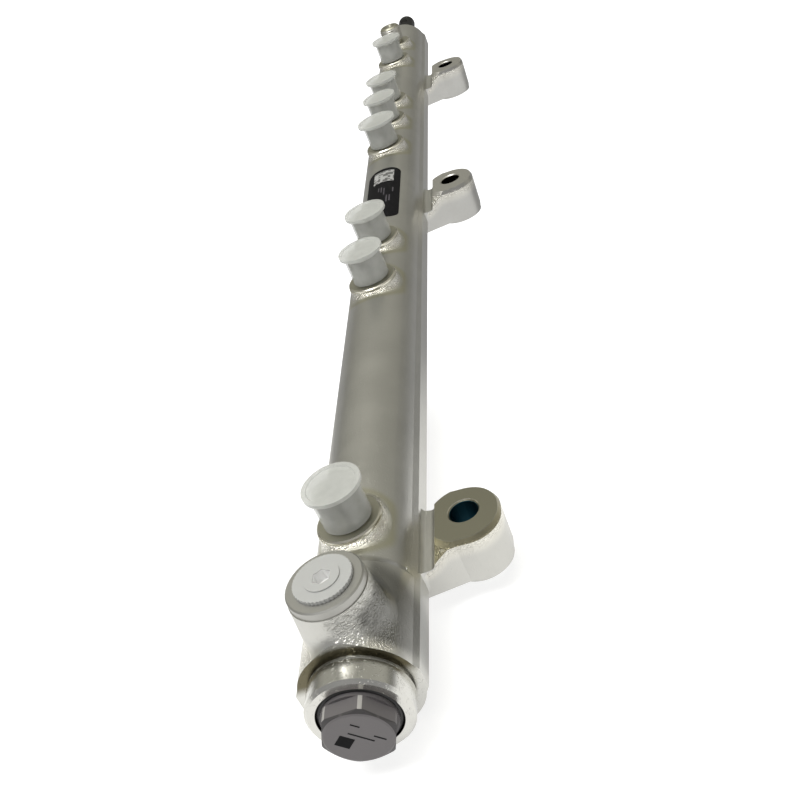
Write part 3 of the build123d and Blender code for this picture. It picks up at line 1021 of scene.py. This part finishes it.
    def zones(self, at: OnForging) -> Zones:
        """Part the skin into its zones.

        Args:
            at: Where the point lies.

        Returns:
            The masks.
        """
        w, lugs = at.w, self.layout.lugs
        far = w.rise(at.x, lugs[0] + self.far_margin, lugs[1] - self.far_margin)
        seat, spot, hole = (patch.mask(at) for patch in (self.seat, self.spot, self.hole))
        turned, inside, land = (patch.mask(at) for patch in (self.collar, self.bore, self.land))
        # the chamfers' painted highlight, fainter at the far holes
        mouth = w.both(spot, self.hole_rim.mask(at), w.blend(far, 1.0, self.far_edge))
        edge = w.either(w.both(seat, self.seat_rim.mask(at)), mouth)
        plain = w.outside(w.either(seat, spot, land, hole, turned))
        creased = w.both(plain, w.either(*(hollow.mask(at) for hollow in self.hollows)))
        return Zones(far, seat, spot, hole, edge, turned, inside, land, plain, creased)

    def painted(self, at: OnForging, zones: Zones, cloud: Socket) -> Socket:
        """Colour of the skin.

        Args:
            at: Where the point lies.
            zones: The skin's zones.
            cloud: Slow noise.

        Returns:
            The colour.
        """
        w = at.w
        return w.paint(
            w.tint(w.rise(cloud, *CLOUD_SPAN), self.toned(self.cloud_tone), self.colour),
            # painted highlight in the creased hollows
            (zones.creased, self.crease_highlight),
            # painted shade round the ports' necks
            (w.both(zones.plain, w.outside(zones.creased), self.neck.mask(at)), self.neck_shade),
            (zones.seat, self.seat_colour),
            # painted shade on the spot face nearest the valve, a paler painted sheen on the far ones
            (zones.spot, w.tint(zones.far, self.near_spot_shade, self.far_spot_sheen)),
            (zones.land, self.toned(self.land_tone)),
            # painted shade between the return boss and the tube
            (w.both(zones.plain, self.behind_boss.mask(at)), self.toned(self.behind_shade_tone)),
            # painted highlight on the chamfers round seats and holes
            (zones.edge, self.edge_highlight),
            # painted shade on the nearest lug's shoulder, painted sheen on the far lugs' tops
            (w.both(zones.plain, self.lug_top.mask(at)), w.tint(zones.far, self.shade, self.far_spot_sheen)),
            # painted shade inside the bolt holes, with a bluish painted reflection in the nearest
            (zones.hole, w.tint(zones.far, self.near_hole_shade, self.far_hole_shade)),
            (zones.turned, self.toned(self.turned_tone)),
            # painted shade on the end face round the collar
            (self.shaded_end_face.mask(at), self.end_face_shade),
            # painted shade in the collar's bore
            (zones.inside, self.bore_shade),
        )

    def rubbed(self, w: Wiring, zones: Zones, cloud: Socket) -> Socket:
        """Roughness of the skin.

        Args:
            w: The tree's wiring.
            zones: The skin's zones.
            cloud: Slow noise.

        Returns:
            The roughness.
        """
        rough = w.math("MULTIPLY_ADD", cloud, self.swing, self.roughness - self.swing / 2)
        for mask, value in (
            (w.either(zones.seat, zones.spot), self.machined_rough), (zones.land, self.land_rough),
            (zones.creased, self.crease_rough), (w.either(zones.turned, zones.edge), self.turned_rough),
        ):
            rough = w.blend(mask, rough, value)
        return rough

    def forged_normal(self, at: OnForging, zones: Zones) -> Socket:
        """Grain and sparkle of the forged skin, folds in its hollows and ripples on the return boss.

        Args:
            at: Where the point lies.
            zones: The skin's zones.

        Returns:
            The bent normal.
        """
        rippled = at.w.both(zones.plain, self.rippled.mask(at))
        normal = None
        for relief, mask in (
            (self.grained(), zones.plain), (self.sparkle, zones.plain), (self.lumps, zones.plain),
            (self.folds, zones.creased), (self.ripples, rippled),
        ):
            normal = relief.bend(at.w, at.vector, mask, normal)
        return normal

    def turned_normal(self, at: OnForging, zones: Zones, normal: Socket) -> Socket:
        """Turning marks and dents of the collar.

        The marks are a sine of the distance from the axis plus the station.

        Args:
            at: Where the point lies.
            zones: The skin's zones.
            normal: The normal so far.

        Returns:
            The bent normal.
        """
        w = at.w
        marks = w.math("SINE", w.math("MULTIPLY", w.math("ADD", at.from_axis, at.x), math.tau / self.turning))
        normal = w.bump(marks, self.turning_depth * MM, w.both(zones.turned, self.turning_share), normal)
        return self.dents.bend(w, at.vector, zones.turned, normal)


# ---------------------------------------------------------------- sub-assemblies


def dress(node: str, material: Material) -> None:
    """Put a material on every slot of a solid.

    Args:
        node: Name of the solid.
        material: Its finish.
    """
    data = frame["nodes"][node].data
    if not data.materials:
        data.materials.append(material)
    for index in range(len(data.materials)):
        data.materials[index] = material
    LOG.info("dressed %s in %s", node, material.name)


def seat_piece(piece: Piece, material: Material) -> None:
    """Finish a new piece and let it ride on the rail.

    Args:
        piece: The piece, in place.
        material: Its finish.
    """
    piece.data.materials.clear()
    piece.data.materials.append(material)
    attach(piece, BODY)
    LOG.info("placed %s in %s", piece.name, material.name)


@dataclass
class PortThread:
    """Screw thread of one high-pressure nipple.

    Attributes:
        layout: Where the port lies.
        station: The port's place along the rail.
        number: The port's number from the valve end.
        pitch: Rise of a turn.
        crest_r: Radius over the crests.
        root_r: Radius in the roots.
        bottom: Height of the first turn above the axis.
        top: Height of the last turn above the axis.
        inner_r: Radius of the sleeve's inner wall, inside the nipple.
        flank: Steepness of a thread's flanks, where 1 makes a sharp wave.
        sink: How far the wave is sunk before it is cut off, which makes its root flat.
        fade: Turns over which the thread runs out at its ends.
        around: Steps round a turn.
        across: Steps over a turn's height.
    """

    layout: RailLayout
    station: float
    number: int
    pitch: float = 1.5
    crest_r: float = 8.0
    root_r: float = 7.5
    bottom: float = 23.2
    top: float = 33.4
    inner_r: float = 6.75
    flank: float = 1.45
    sink: float = 0.15
    fade: float = 0.6
    around: int = 48
    across: int = 8

    def build(self) -> Piece:
        """Build the thread as one closed sleeve.

        On the outer wall the height is pitch * (row / across + angle / turn), so that rows
        follow the helix, and the radius is a flat-topped wave of row / across that fades out
        at both ends. The inner wall is a plain cylinder just inside the nipple.

        Returns:
            The sleeve.
        """
        turns = math.ceil((self.top - self.bottom) / self.pitch) + 1
        rows = np.arange(turns * self.across + 1)
        angle = np.linspace(0, math.tau, self.around + 1)
        height = self.bottom + self.pitch * (rows[:, None] / self.across - 1 + angle[None, :] / math.tau)
        wave = 1 - np.abs(2 * ((rows / self.across) % 1) - 1)
        ridge = np.clip(self.flank * wave[:, None] - self.sink, 0, 1)
        from_end = np.minimum(height - self.bottom, self.top - height)
        ridge = ridge * np.clip(from_end / (self.fade * self.pitch), 0, 1)
        radius = self.root_r + (self.crest_r - self.root_r) * ridge
        height = np.clip(height, self.bottom, self.top)
        inner = np.full((1, self.around + 1), self.inner_r)
        radius = np.concatenate([inner, radius, inner])
        height = np.concatenate([height[:1], height, height[-1:]])
        points = np.stack([
            self.station + radius * np.cos(angle), self.layout.axis_y + radius * np.sin(angle),
            self.layout.axis_z + height,
        ], axis=-1) * MM
        faces = grid_faces(len(radius), self.around + 1, wrap_rows=True)
        return mesh_object(f"port_thread_{self.number}", points, faces)


@dataclass
class HighPressurePorts:
    """The eight threaded ports and the soft caps on seven of them.

    Attributes:
        layout: Where the ports lie.
        steel: Finish of the threads.
        plastic: Finish of the caps.
    """

    layout: RailLayout
    steel: Material
    plastic: Material

    def build(self) -> None:
        """Cut the threads and dress the caps."""
        for number, station in enumerate(self.layout.ports, start=1):
            thread = PortThread(self.layout, station, number).build()
            seat_piece(thread, self.steel)
        for name in sorted(frame["nodes"]):
            if name.startswith("port_cap_"):
                dress(name, self.plastic)


@dataclass
class RatingLabel:
    """Black film label with a pale field and faint bars, none of which is lettering.

    Attributes:
        layout: Where the rail's axis lies.
        film: Finish of the label.
        ink: Finish of the field.
        faint: Finish of the bars.
        outer_r: Outer radius of the film.
        ink_thick: Thickness that the print stands proud.
        field_x: First and last station of the pale field.
        field_angle: Its angles in degrees, from straight up towards -Y.
        bars: First station, length and angle of each pale bar.
        bar_width: Width of a bar in degrees.
    """

    layout: RailLayout
    film: Material
    ink: Material
    faint: Material
    outer_r: float = 19.21
    ink_thick: float = 0.04
    field_x: Span = (2.6, 18.4)
    field_angle: Span = (-17.5, 19.5)
    bars: tuple[tuple[float, float, float], ...] = (
        (-10.0, 5.0, -7.0), (-12.0, 7.0, -2.0), (-16.0, 9.0, 3.0), (-26.0, 9.0, 8.0), (-25.0, 8.0, 13.0),
        (-13.0, 6.0, 18.0))
    bar_width: float = 2.2

    def print_plate(self, name: str, x: Span, angle: Span, ink: Material) -> None:
        """Lay one flat shape of ink on the label.

        Args:
            name: Name of the piece.
            x: First and last station.
            angle: First and last angle in degrees.
            ink: Its finish.
        """
        radius = (self.outer_r - self.ink_thick, self.outer_r + self.ink_thick)
        turned = (math.radians(angle[0]), math.radians(angle[1]))
        seat_piece(plate_on_rail(name, self.layout, x, turned, radius), ink)

    def build(self) -> None:
        """Dress the film and print on it: a pale field, and faint bars below it."""
        dress("rating_label", self.film)
        self.print_plate("label_field", self.field_x, self.field_angle, self.ink)
        for number, (start, length, angle) in enumerate(self.bars, start=1):
            span = (angle, angle + self.bar_width)
            self.print_plate(f"label_bar_{number}", (start, start + length), span, self.faint)


@dataclass
class LimitingValve:
    """Screwed limiting valve at the near end, with its dark inspection square and printed bars.

    Attributes:
        layout: Where the rail's axis and the valve's face lie.
        steel: Finish of the housing.
        inner: Finish of the parts inside.
        rubber: Finish of the seal ring.
        ink: Finish of the marks.
        marks: Y, Z, length and width of each mark, from the rail's axis.
        mark_turn: How far the marks are turned, in degrees.
        mark_thick: Thickness of a mark, half of it sunk in the face.
    """

    layout: RailLayout
    steel: Material
    inner: Material
    rubber: Material
    ink: Material
    marks: tuple[tuple[float, float, float, float], ...] = (
        (4.55, -0.15, 4.8, 4.8), (-1.1, 5.9, 3.0, 0.6), (-1.0, 0.5, 8.5, 0.6), (-6.2, -1.5, 4.0, 0.6))
    mark_turn: float = 43.0
    mark_thick: float = 0.06

    def mark(self, number: int, place: tuple[float, float], sides: tuple[float, float]) -> Piece:
        """Thin plate on the end face, half sunk in it.

        Each corner lies half a length along and half a width over from the middle, turned by
        mark_turn in the face's plane, and the two faces lie half a thickness either way.

        Args:
            number: Its number.
            place: Y and Z of its middle from the rail's axis.
            sides: Its length and width.

        Returns:
            The plate.
        """
        turn = math.radians(self.mark_turn)
        along = np.array([0.5, -0.5, -0.5, 0.5]) * sides[0]
        over = np.array([0.5, 0.5, -0.5, -0.5]) * sides[1]
        y = self.layout.axis_y + place[0] + along * math.cos(turn) - over * math.sin(turn)
        z = self.layout.axis_z + place[1] + along * math.sin(turn) + over * math.cos(turn)
        x = self.layout.valve_face + self.mark_thick * np.array([0.5, -0.5])[:, None]
        points = np.stack(np.broadcast_arrays(x, y, z), axis=-1) * MM
        caps = np.array([[0, 1, 2, 3], [4, 5, 6, 7]])
        faces = np.concatenate([grid_faces(2, 4, wrap_columns=True), caps])
        return mesh_object(f"valve_mark_{number}", points, faces, False)

    def build(self) -> None:
        """Dress the valve and print its square and bars."""
        dress("valve_housing", self.steel)
        for number, (y, z, length, width) in enumerate(self.marks, start=1):
            seat_piece(self.mark(number, (y, z), (length, width)), self.ink)
        dress("valve_seal_ring", self.rubber)
        for name in ("valve_seat", "valve_needle", "valve_spring", "valve_shim"):
            dress(name, self.inner)


@dataclass
class PressureSensor:
    """Pressure sensor at the far end, with its moulded connector.

    Attributes:
        steel: Finish of the body and the measuring cell.
        plastic: Finish of the connector.
        rubber: Finish of the seal ring.
        board: Finish of the circuit board.
        brass: Finish of the terminals.
    """

    steel: Material
    plastic: Material
    rubber: Material
    board: Material
    brass: Material

    def build(self) -> None:
        """Dress every piece of the sensor."""
        dress("sensor_body", self.steel)
        dress("sensor_measuring_cell", self.steel)
        dress("sensor_connector", self.plastic)
        dress("sensor_seal_ring", self.rubber)
        dress("sensor_circuit_board", self.board)
        for name in sorted(frame["nodes"]):
            if name.startswith("sensor_terminal_"):
                dress(name, self.brass)


# ---------------------------------------------------------------- studio


@dataclass(frozen=True)
class SoftBox:
    """One rectangular soft light.

    Attributes:
        name: Name of the light.
        place: Where it stands, in metres.
        aim: What it points at, in metres.
        size: Its two sides in metres.
        power: Its power in watts.
    """

    name: str
    place: tuple[float, float, float]
    aim: tuple[float, float, float]
    size: tuple[float, float]
    power: float

    def build(self) -> None:
        """Put the light in the scene."""
        light = bpy.data.lights.new(self.name, "AREA")
        light.shape = "RECTANGLE"
        light.size, light.size_y = self.size
        light.energy = self.power
        stand = bpy.data.objects.new(self.name, light)
        stand.location = self.place
        stand.rotation_euler = (Vector(self.aim) - Vector(self.place)).to_track_quat("-Z", "Y").to_euler()
        bpy.context.scene.collection.objects.link(stand)


@dataclass(frozen=True)
class Floor:
    """Pale floor that keeps a faint shadow and shows white to the camera.

    Attributes:
        gap: Space between the lowest solid and the floor, in metres.
        side: Side of the floor, in metres.
        white: Its colour, the same in red, green and blue.
        roughness: Its roughness.
        specular: Strength of its mirror-like light.
        glow: Share of its white near the valve end that comes from no light.
        far_glow: The same share farther along.
        level: Strength of that white.
        mirrored_near: Its strength near the valve end, as the rail mirrors it.
        mirrored_far: Its strength farther along, as faces that look back mirror it.
        mirrored_ahead: Its strength farther along, as the rail's flanks mirror it.
        shadow_span: Stations between which the floor's shadow fades out.
        mirror_span: Stations between which the near strength gives way to the far one.
        flank_span: The same for what the flanks mirror.
        aside_span: Sideways distances between which it does so too.
        look_span: X of a mirrored look, between looks back and looks ahead.
    """

    gap: float = 0.0002
    side: float = 6.0
    white: float = 0.9
    roughness: float = 0.9
    specular: float = 0.1
    glow: float = 0.55
    far_glow: float = 0.97
    level: float = 1.4
    mirrored_near: float = 1.3
    mirrored_far: float = 0.95
    mirrored_ahead: float = 0.42
    shadow_span: Span = (-200.0, -110.0)
    mirror_span: Span = (-180.0, -60.0)
    flank_span: Span = (-250.0, -120.0)
    aside_span: Span = (60.0, 350.0)
    look_span: Span = (0.1, -0.3)

    def build(self) -> None:
        """Lay the floor under the rail: a square at one height."""
        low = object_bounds()[0].z - self.gap
        side = np.array([-0.5, 0.5]) * self.side
        x, y = np.meshgrid(side, side, indexing="ij")
        points = np.stack([x, y, np.full_like(x, low)], axis=-1)
        floor = mesh_object("floor", points, grid_faces(2, 2))
        floor.data.materials.append(self.material())
        floor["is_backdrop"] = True

    def material(self) -> Material:
        """Mix plain white with a glow that only the camera and mirrored looks see.

        Returns:
            The material.
        """
        made = bpy.data.materials.new("studio_floor")
        made.use_nodes = True
        w = Wiring(made.node_tree)
        shader = made.node_tree.nodes["Principled BSDF"]
        shader.inputs["Base Color"].default_value = (self.white, self.white, self.white, 1)
        shader.inputs["Roughness"].default_value = self.roughness
        shader.inputs["Specular IOR Level"].default_value = self.specular
        path = w.node("LightPath").outputs
        seen = w.either(*(path[kind] for kind in ("Is Camera Ray", "Is Glossy Ray", "Is Transmission Ray")))
        _, x, y, _ = w.place()
        share = w.blend(w.rise(x, *self.shadow_span), self.glow, self.far_glow)
        glow = w.node("Emission")
        level = w.blend(path["Is Camera Ray"], self.mirrored(w, x, y), self.level)
        w.feed(glow.inputs["Strength"], level)
        mix = w.node("MixShader")
        for socket, value in zip(mix.inputs, (w.both(seen, share), shader.outputs[0], glow.outputs[0])):
            w.feed(socket, value)
        w.feed(made.node_tree.nodes["Material Output"].inputs["Surface"], mix.outputs[0])
        return made

    def mirrored(self, w: Wiring, x: Socket, y: Socket) -> Socket:
        """Strength of the glow, as the rail mirrors it.

        Args:
            w: The tree's wiring.
            x: Station of the floor's point.
            y: Its sideways place.

        Returns:
            The strength.
        """
        incoming = w.node("SeparateXYZ")
        w.feed(incoming.inputs[0], w.node("NewGeometry").outputs["Incoming"])
        ahead = w.rise(incoming.outputs[0], *self.look_span)
        back = w.blend(w.rise(x, *self.mirror_span), self.mirrored_near, self.mirrored_far)
        beyond = w.either(w.rise(x, *self.flank_span), w.rise(w.math("ABSOLUTE", y), *self.aside_span))
        return w.blend(ahead, back, w.blend(beyond, self.mirrored_near, self.mirrored_ahead))


@dataclass(frozen=True)
class Room:
    """Room round the rail: dim, darkest low down ahead, with a bright ceiling.

    Attributes:
        ahead: Strength of the room ahead and above.
        back: Strength of the room behind the camera.
        side: Strength of the room beyond the lugs.
        band: Strength of the dark band low down ahead.
        top: Strength of the ceiling.
        colour: Colour of the room ahead.
        back_span: X of the directions between which the room turns into what lies behind.
        side_span: Y of the directions between which the lugs' side starts.
        side_start: X of the directions between which it starts too.
        band_span: Slopes between which the dark band starts, either way from level.
        band_start: X of the directions between which it starts too.
        top_span: Z of the directions between which the ceiling starts.
    """

    ahead: float = 0.42
    back: float = 0.34
    side: float = 0.55
    band: float = 0.16
    top: float = 2.6
    colour: Colour = (1.0, 0.985, 0.87)
    back_span: Span = (0.1, -0.5)
    side_span: Span = (-0.45, -0.9)
    side_start: Span = (-0.2, 0.2)
    band_span: Span = (0.3, 0.05)
    band_start: Span = (0.2, 0.6)
    top_span: Span = (0.84, 0.97)

    def build(self) -> None:
        """Surround the rail with the room, which the camera itself sees as white."""
        world = bpy.data.worlds.new("studio")
        world.use_nodes = True
        w = Wiring(world.node_tree)
        split = w.node("SeparateXYZ")
        w.feed(split.inputs[0], w.node("TexCoord").outputs["Generated"])
        x, y, z = split.outputs
        behind = w.rise(x, *self.back_span)
        level = w.blend(behind, self.ahead, self.back)
        for mask, strength in (
            (w.both(w.rise(y, *self.side_span), w.rise(x, *self.side_start)), self.side),
            (w.both(w.rise(w.math("ABSOLUTE", z), *self.band_span), w.rise(x, *self.band_start)), self.band),
            (w.rise(z, *self.top_span), self.top),
        ):
            level = w.blend(mask, level, strength)
        seen = w.node("LightPath").outputs["Is Camera Ray"]
        back = world.node_tree.nodes["Background"]
        w.feed(back.inputs["Color"], w.tint(w.either(seen, behind), self.colour, (1.0, 1.0, 1.0)))
        w.feed(back.inputs["Strength"], w.blend(seen, level, 1.0))
        bpy.context.scene.world = world


@dataclass(frozen=True)
class Studio:
    """The camera, the floor, the lights and the room.

    Attributes:
        camera_place: The camera's place in millimetres.
        camera_turn: The camera's XYZ rotation in degrees.
        lens: Focal length in millimetres.
        sensor: Width of the sensor in millimetres.
        sight: Nearest and farthest that the camera sees, in metres.
        floor: The floor.
        lights: The soft lights.
        room: The room.
    """

    camera_place: tuple[float, float, float] = (-549.26, -66.80, 244.13)
    camera_turn: tuple[float, float, float] = (55.368, 20.516, -88.538)
    lens: float = 45.77
    sensor: float = 36.0
    sight: Span = (0.01, 20.0)
    floor: Floor = Floor()
    lights: tuple[SoftBox, ...] = (SoftBox("key", (-0.5, 0.4, 1.4), (-0.2, 0.04, 0), (0.6, 0.6), 11.0),)
    room: Room = Room()

    def build(self) -> None:
        """Build camera, floor, lights and room."""
        self.stand_camera()
        self.floor.build()
        for light in self.lights:
            light.build()
        self.room.build()
        bpy.context.scene.view_settings.view_transform = "Standard"

    def stand_camera(self) -> None:
        """Stand the camera in its place."""
        data = bpy.data.cameras.new("camera")
        data.lens, data.sensor_width = self.lens, self.sensor
        data.clip_start, data.clip_end = self.sight
        camera = bpy.data.objects.new("camera", data)
        camera.location = Vector(self.camera_place) * MM
        camera.rotation_euler = Euler([math.radians(a) for a in self.camera_turn])
        bpy.context.scene.collection.objects.link(camera)
        bpy.context.scene.camera = camera


def main() -> None:
    """Dress the fuel rail and light it."""
    logging.basicConfig(level=logging.INFO, format="%(name)s: %(message)s")
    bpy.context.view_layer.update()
    layout = RailLayout.from_frame()
    forged = ForgedRailFinish(
        "forged_skin", (0.575, 0.57, 0.54), 0.36, 1.0, grain=0.35, grain_depth=0.015,
        layout=layout).material()
    threads = Finish("thread_steel", (0.52, 0.51, 0.47), 0.3, 1.0, grain_depth=0.001).material()
    caps = MilkyPlastic(
        "milky_cap", (0.58, 0.59, 0.57), 0.28, variation=0.02, veil=0.66,
        sleeve_top=layout.cap_wall_foot).material()
    plug = SocketPlastic(
        "milky_plug", (0.45, 0.455, 0.45), 0.3, variation=0.02, veil=0.97, glow=0.2,
        middle=(layout.return_port, layout.axis_y), mouth=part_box("return_port_plug")[1].z / MM).material()
    film = Finish(
        "label_film", (0.008, 0.008, 0.009), 0.45, grain=0.3, grain_depth=0.004, specular=0.03).material()
    ink = PatternInk("pale_ink", (0.4, 0.4, 0.4), 0.5).material()
    faint = Finish("faint_ink", (0.075, 0.07, 0.08), 0.5, specular=0.1).material()
    valve = ValveSteel(
        "valve_steel", (0.15, 0.141, 0.145), 0.48, 0.35, grain=0.3, grain_depth=0.006, variation=0.02,
        layout=layout).material()
    bright = Finish("bright_steel", (0.6, 0.6, 0.58), 0.25, 1.0).material()
    rubber = Finish("seal_rubber", (0.015, 0.015, 0.015), 0.5).material()
    moulded = Finish("connector_plastic", (0.008, 0.008, 0.008), 0.4, grain=0.25, specular=0.1).material()
    board = Finish("board_laminate", (0.02, 0.12, 0.05), 0.4).material()
    brass = Finish("terminal_brass", (0.7, 0.6, 0.35), 0.3, 1.0).material()
    dark = Finish("dark_ink", (0.01, 0.01, 0.011), 0.8, specular=0.1).material()

    dress("rail_body", forged)
    dress("return_port_plug", plug)
    HighPressurePorts(layout, threads, caps).build()
    RatingLabel(layout, film, ink, faint).build()
    LimitingValve(layout, valve, bright, rubber, dark).build()
    PressureSensor(bright, moulded, rubber, board, brass).build()
    Studio().build()


if __name__ == "__main__":
    main()
